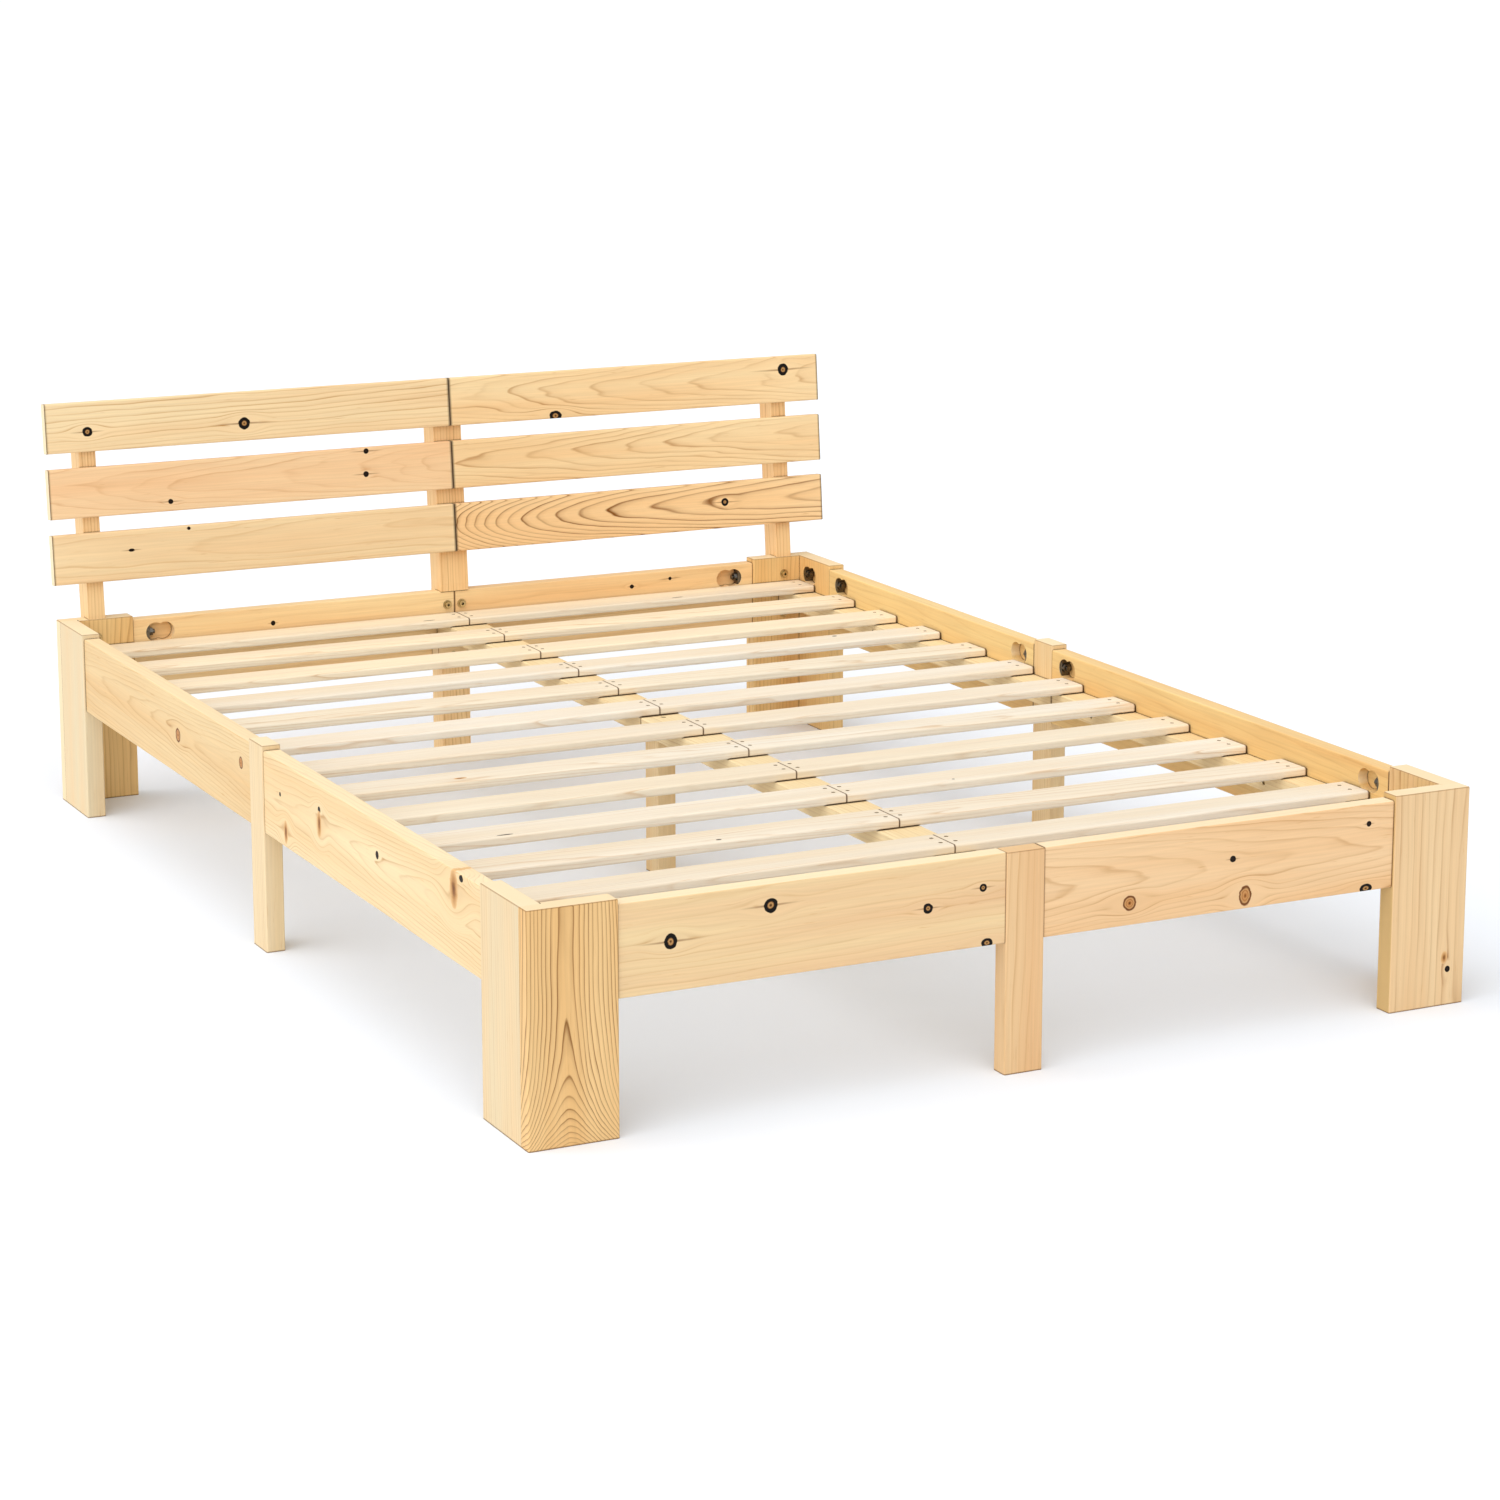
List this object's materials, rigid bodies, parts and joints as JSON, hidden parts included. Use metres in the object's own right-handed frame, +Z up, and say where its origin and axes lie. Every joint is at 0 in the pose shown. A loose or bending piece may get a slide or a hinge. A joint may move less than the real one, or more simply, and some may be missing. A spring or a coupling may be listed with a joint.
{
  "type": "double bed",
  "caption": "Low knock-down pine double bed: L-shaped corner posts, bolted rails, slatted deck on ledges and a mid beam, and a headboard of spaced planks on leaning uprights.",
  "frame": {"origin": "on the floor under the middle of the bed's overall box", "axes": "+X across the bed to the right seen from the foot end, +Y from the foot end to the head end, +Z up"},
  "size_m": [1.504, 2.1408, 0.7058],
  "materials": {
    "pine_frame": "planed and sanded pine, untreated",
    "pine_headboard": "planed and sanded pine, untreated",
    "pine_deck": "planed pine, untreated",
    "beech_dowel": "fluted beech dowel",
    "zinc_steel": "zinc plated steel"
  },
  "bodies": {
    "root": {"beam_front": "pine_deck", "beam_rear": "pine_deck", "beam_screws": "zinc_steel", "cleat_front": "pine_deck", "cleat_rear": "pine_deck", "ledge_left_front": "pine_deck", "ledge_left_rear": "pine_deck", "ledge_right_front": "pine_deck", "ledge_right_rear": "pine_deck", "ledge_screws": "zinc_steel", "leg_beam": "pine_deck", "leg_front": "pine_frame", "leg_left": "pine_frame", "leg_right": "pine_frame", "plank_low_left": "pine_headboard", "plank_low_right": "pine_headboard", "plank_mid_left": "pine_headboard", "plank_mid_right": "pine_headboard", "plank_screws": "zinc_steel", "plank_top_left": "pine_headboard", "plank_top_right": "pine_headboard", "post_fl_end": "pine_frame", "post_fl_side": "pine_frame", "post_fr_end": "pine_frame", "post_fr_side": "pine_frame", "post_rl_end": "pine_frame", "post_rl_side": "pine_frame", "post_rr_end": "pine_frame", "post_rr_side": "pine_frame", "rail_bolts": "zinc_steel", "rail_dowels": "beech_dowel", "rail_front_left": "pine_frame", "rail_front_right": "pine_frame", "rail_left_front": "pine_frame", "rail_left_rear": "pine_frame", "rail_nuts": "zinc_steel", "rail_rear_left": "pine_frame", "rail_rear_right": "pine_frame", "rail_right_front": "pine_frame", "rail_right_rear": "pine_frame", "rail_washers": "zinc_steel", "slat_01": "pine_deck", "slat_02": "pine_deck", "slat_03": "pine_deck", "slat_04": "pine_deck", "slat_05": "pine_deck", "slat_06": "pine_deck", "slat_07": "pine_deck", "slat_08": "pine_deck", "slat_09": "pine_deck", "slat_10": "pine_deck", "slat_11": "pine_deck", "slat_12": "pine_deck", "slat_13": "pine_deck", "slat_screws": "zinc_steel", "upright_bolts": "zinc_steel", "upright_centre": "pine_headboard", "upright_left": "pine_headboard", "upright_right": "pine_headboard"}
  },
  "joints": []
}
